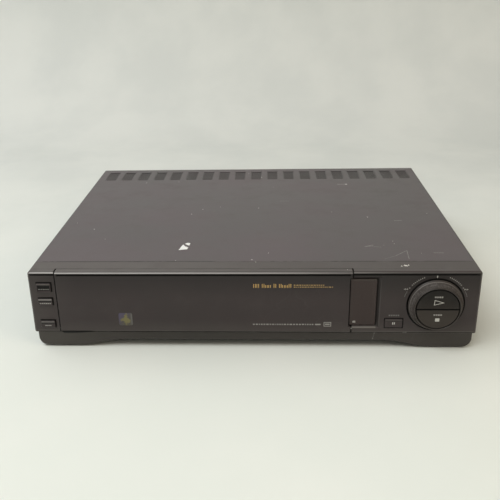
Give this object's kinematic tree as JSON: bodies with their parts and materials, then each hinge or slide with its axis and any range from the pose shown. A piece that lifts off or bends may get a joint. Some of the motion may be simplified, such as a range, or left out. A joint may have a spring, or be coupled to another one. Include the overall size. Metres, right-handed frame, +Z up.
{
  "type": "video cassette recorder",
  "caption": "Front-loading tape cassette recorder: flat steel case, drop-down front door, shuttle dial with split play and stop buttons, cassette lift and tape deck inside.",
  "frame": {"origin": "centre of the footprint on the table", "axes": "+X to the right as seen from the front, +Y from the front face to the rear panel, +Z up"},
  "size_m": [0.4334, 0.3682, 0.082],
  "materials": {
    "cover_paint": "satin",
    "bezel_plastic": "satin",
    "door_plastic": "satin",
    "skirt_plastic": "satin",
    "key_plastic": "satin",
    "ring_plastic": "satin",
    "inner_plastic": "satin",
    "white_plastic": "satin",
    "cream_plastic": "satin",
    "jack_plastic": "gloss",
    "window_glass": "gloss",
    "display_glass": "gloss",
    "zinc_steel": "zinc plated",
    "black_steel": "black oxide",
    "bright_steel": "polished",
    "core_steel": "varnished laminations",
    "drum_aluminium": "turned",
    "sink_aluminium": "extruded",
    "head_metal": "satin",
    "pad_rubber": "matt",
    "roller_rubber": "ground",
    "board": "paper laminate",
    "parts": "moulded"
  },
  "bodies": {
    "chassis": {"top_cover": "cover_paint", "cover_screws": "black_steel", "front_bezel": "bezel_plastic", "base_skirt": "skirt_plastic", "bottom_plate": "zinc_steel", "rear_feet": "inner_plastic", "foot_pads": "pad_rubber", "rear_panel": "zinc_steel", "inner_fascia": "inner_plastic", "flap_spring": "bright_steel", "display_window": "window_glass", "display_module": "display_glass", "shuttle_encoder": "inner_plastic", "front_boards": "board", "tact_switches": "parts", "front_input_jacks": "jack_plastic", "main_board": "board", "board_components": "parts", "power_board": "board", "transformer": "core_steel", "heat_sink": "sink_aluminium", "tuner_unit": "zinc_steel", "rear_jack_block": "jack_plastic", "rear_jack_shells": "bright_steel", "cord_gland": "jack_plastic", "deck_plate": "zinc_steel", "lower_drum": "drum_aluminium", "loading_motor": "zinc_steel", "tape_heads": "head_metal", "lift_side_plates": "zinc_steel"},
    "door": {"front_door": "door_plastic", "door_hinge_pins": "bright_steel"},
    "flap": {"cassette_flap": "inner_plastic"},
    "pause_key": {"pause_button": "key_plastic"},
    "power_key": {"power_button": "key_plastic"},
    "input_key": {"input_button": "key_plastic"},
    "eject_key": {"eject_button": "key_plastic"},
    "play_key": {"play_button": "key_plastic"},
    "stop_key": {"stop_button": "key_plastic"},
    "shuttle": {"shuttle_ring": "ring_plastic"},
    "channel_slider": {"channel_switch": "jack_plastic"},
    "head_drum": {"upper_drum": "drum_aluminium"},
    "capstan": {"capstan_flywheel": "bright_steel"},
    "pinch_lever": {"pinch_arm": "zinc_steel"},
    "pinch_wheel": {"pinch_roller": "roller_rubber"},
    "loading_pinion": {"motor_pinion": "white_plastic"},
    "loading_cam": {"cam_gear": "white_plastic"},
    "carriage": {"lift_carriage": "inner_plastic"},
    "basket": {"cassette_basket": "zinc_steel"},
    "lift_wheel": {"lift_gear": "white_plastic"},
    "supply_spool_table": {"supply_reel": "cream_plastic"},
    "takeup_spool_table": {"takeup_reel": "cream_plastic"},
    "supply_guide_base": {"supply_guide": "head_metal"},
    "takeup_guide_base": {"takeup_guide": "head_metal"},
    "channel_down_key": {"channel_down_button": "key_plastic"},
    "channel_up_key": {"channel_up_button": "key_plastic"},
    "record_key": {"record_button": "key_plastic"},
    "timer_key": {"timer_button": "key_plastic"},
    "tape_speed_key": {"tape_speed_button": "key_plastic"},
    "counter_reset_key": {"counter_reset_button": "key_plastic"}
  },
  "joints": [
    {"name": "door_hinge", "type": "hinge", "parent": "chassis", "child": "door", "pos_m": [0, -0.17155, 0.021], "axis": [1, 0, 0], "range_deg": [0, 90]},
    {"name": "flap_hinge", "type": "hinge", "parent": "chassis", "child": "flap", "pos_m": [-0.07, -0.16135, 0.0772], "axis": [1, 0, 0], "range_deg": [0, 88], "stiffness_Nm_per_rad": 0.005},
    {"name": "power_press", "type": "slide", "parent": "chassis", "child": "power_key", "axis": [0, 1, 0], "range_m": [0, 0.0015], "stiffness_N_per_m": 150},
    {"name": "input_press", "type": "slide", "parent": "chassis", "child": "input_key", "axis": [0, 1, 0], "range_m": [0, 0.0015], "stiffness_N_per_m": 150},
    {"name": "eject_press", "type": "slide", "parent": "chassis", "child": "eject_key", "axis": [0, 1, 0], "range_m": [0, 0.0015], "stiffness_N_per_m": 150},
    {"name": "pause_press", "type": "slide", "parent": "chassis", "child": "pause_key", "axis": [0, 1, 0], "range_m": [0, 0.00075], "stiffness_N_per_m": 150},
    {"name": "play_press", "type": "slide", "parent": "chassis", "child": "play_key", "axis": [0, 1, 0], "range_m": [0, 0.0015], "stiffness_N_per_m": 150},
    {"name": "stop_press", "type": "slide", "parent": "chassis", "child": "stop_key", "axis": [0, 1, 0], "range_m": [0, 0.0015], "stiffness_N_per_m": 150},
    {"name": "shuttle_turn", "type": "hinge", "parent": "chassis", "child": "shuttle", "pos_m": [0.1742, -0.17365, 0.0478], "axis": [0, 1, 0], "range_deg": [-70, 70], "stiffness_Nm_per_rad": 0.02},
    {"name": "channel_down_press", "type": "slide", "parent": "chassis", "child": "channel_down_key", "axis": [0, 1, 0], "range_m": [0, 0.0012], "stiffness_N_per_m": 150},
    {"name": "channel_up_press", "type": "slide", "parent": "chassis", "child": "channel_up_key", "axis": [0, 1, 0], "range_m": [0, 0.0012], "stiffness_N_per_m": 150},
    {"name": "record_press", "type": "slide", "parent": "chassis", "child": "record_key", "axis": [0, 1, 0], "range_m": [0, 0.0012], "stiffness_N_per_m": 150},
    {"name": "timer_press", "type": "slide", "parent": "chassis", "child": "timer_key", "axis": [0, 1, 0], "range_m": [0, 0.0012], "stiffness_N_per_m": 150},
    {"name": "tape_speed_press", "type": "slide", "parent": "chassis", "child": "tape_speed_key", "axis": [0, 1, 0], "range_m": [0, 0.0012], "stiffness_N_per_m": 150},
    {"name": "counter_reset_press", "type": "slide", "parent": "chassis", "child": "counter_reset_key", "axis": [0, 1, 0], "range_m": [0, 0.0012], "stiffness_N_per_m": 150},
    {"name": "channel_slide", "type": "slide", "parent": "chassis", "child": "channel_slider", "axis": [1, 0, 0], "range_m": [0, 0.004]},
    {"name": "drum_spin", "type": "hinge", "parent": "chassis", "child": "head_drum", "pos_m": [-0.07, -0.00565, 0.0232], "axis": [0.0958, 0, 0.9954], "continuous": true},
    {"name": "capstan_spin", "type": "hinge", "parent": "chassis", "child": "capstan", "pos_m": [-0.012, -0.02165, 0.0232], "axis": [0, 0, 1], "continuous": true},
    {"name": "supply_reel_spin", "type": "hinge", "parent": "chassis", "child": "supply_spool_table", "pos_m": [-0.116, -0.10065, 0.0232], "axis": [0, 0, 1], "continuous": true},
    {"name": "takeup_reel_spin", "type": "hinge", "parent": "chassis", "child": "takeup_spool_table", "pos_m": [-0.024, -0.10065, 0.0232], "axis": [0, 0, 1], "continuous": true},
    {"name": "cam_turn", "type": "hinge", "parent": "chassis", "child": "loading_cam", "pos_m": [-0.146, -0.01365, 0.0242], "axis": [0, 0, 1], "range_deg": [0, 150]},
    {"name": "pinion_turn", "type": "hinge", "parent": "chassis", "child": "loading_pinion", "pos_m": [-0.146, 0.00635, 0.0242], "axis": [0, 0, 1], "range_deg": [-601, 0]},
    {"name": "supply_guide_slide", "type": "slide", "parent": "chassis", "child": "supply_guide_base", "axis": [-0.2614, 0.9652, 0], "range_m": [0, 0.0498]},
    {"name": "takeup_guide_slide", "type": "slide", "parent": "chassis", "child": "takeup_guide_base", "axis": [0.2614, 0.9652, 0], "range_m": [0, 0.0498]},
    {"name": "pinch_arm_turn", "type": "hinge", "parent": "chassis", "child": "pinch_lever", "pos_m": [0.014, -0.01565, 0.0232], "axis": [0, 0, 1], "range_deg": [-21.68, 0]},
    {"name": "pinch_roller_spin", "type": "hinge", "parent": "pinch_lever", "child": "pinch_wheel", "pos_m": [-0.00013, -0.03505, 0.0312], "axis": [0, 0, 1], "continuous": true},
    {"name": "carriage_slide", "type": "slide", "parent": "chassis", "child": "carriage", "axis": [0, 1, 0], "range_m": [0, 0.057]},
    {"name": "basket_drop", "type": "slide", "parent": "carriage", "child": "basket", "axis": [0, 0, -1], "range_m": [0, 0.02]},
    {"name": "lift_gear_turn", "type": "hinge", "parent": "chassis", "child": "lift_wheel", "pos_m": [0.0324, -0.08165, 0.0312], "axis": [1, 0, 0], "range_deg": [-818.46, 0]}
  ],
  "couplings": [
    {"joint": "pinion_turn", "follows": "cam_turn", "ratio": -4},
    {"joint": "supply_guide_slide", "follows": "cam_turn", "m_per_rad": 0.018995},
    {"joint": "takeup_guide_slide", "follows": "cam_turn", "m_per_rad": 0.018995},
    {"joint": "pinch_arm_turn", "follows": "cam_turn", "ratio": -0.1442},
    {"joint": "lift_gear_turn", "follows": "carriage_slide", "rad_per_m": -250}
  ]
}
